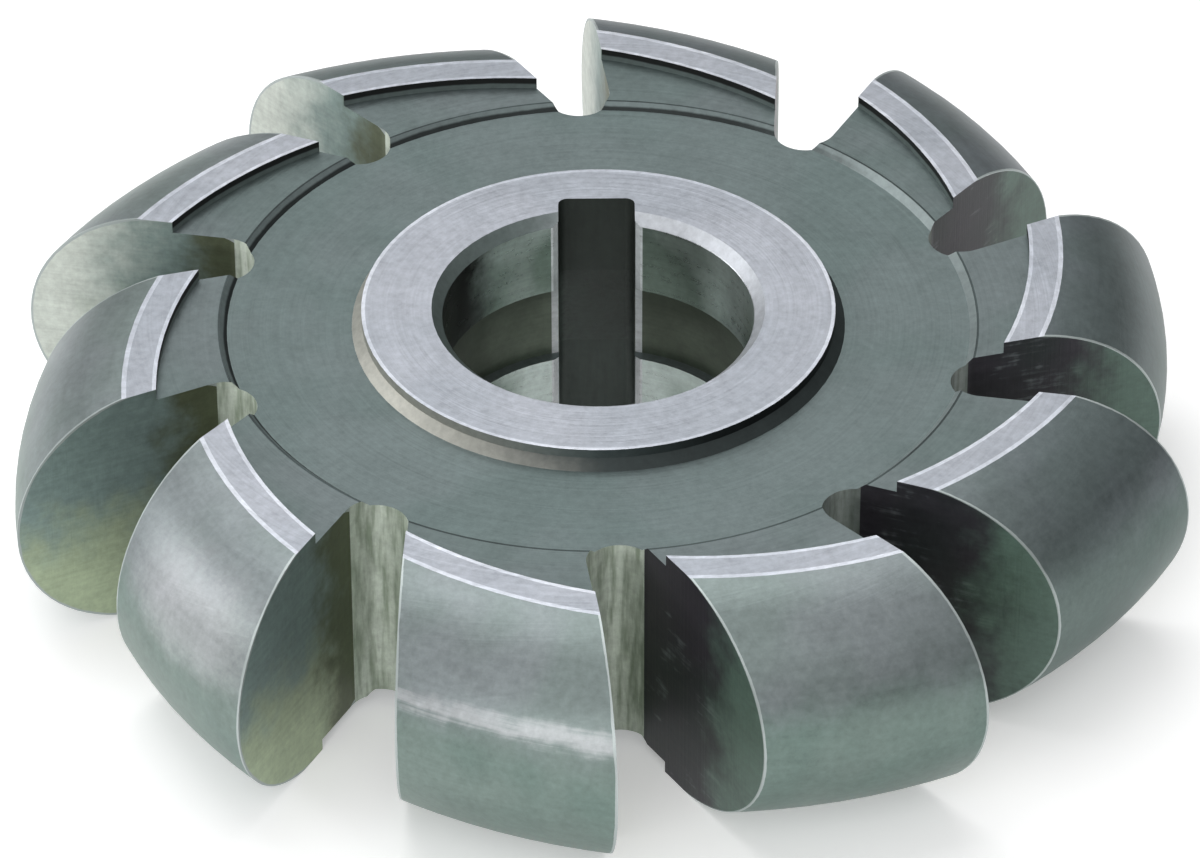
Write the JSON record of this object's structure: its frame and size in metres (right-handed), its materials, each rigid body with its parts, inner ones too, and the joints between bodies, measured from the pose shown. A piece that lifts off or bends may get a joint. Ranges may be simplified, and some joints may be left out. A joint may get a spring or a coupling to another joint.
{
  "type": "radius milling cutter",
  "caption": "Half-round convex milling cutter with form-relieved teeth, round gullets, raised hub faces and a keyed arbor bore.",
  "frame": {"origin": "on the bore's axis, midway between the two hub faces", "axes": "+Z along the bore, +Y through the middle of the keyway; seen from +Z the cutting faces look counter-clockwise"},
  "size_m": [0.1196, 0.125, 0.0276],
  "materials": {
    "tool_steel": "ground and relieved tool steel"
  },
  "bodies": {
    "root": {"milling_cutter": "tool_steel"}
  },
  "joints": []
}
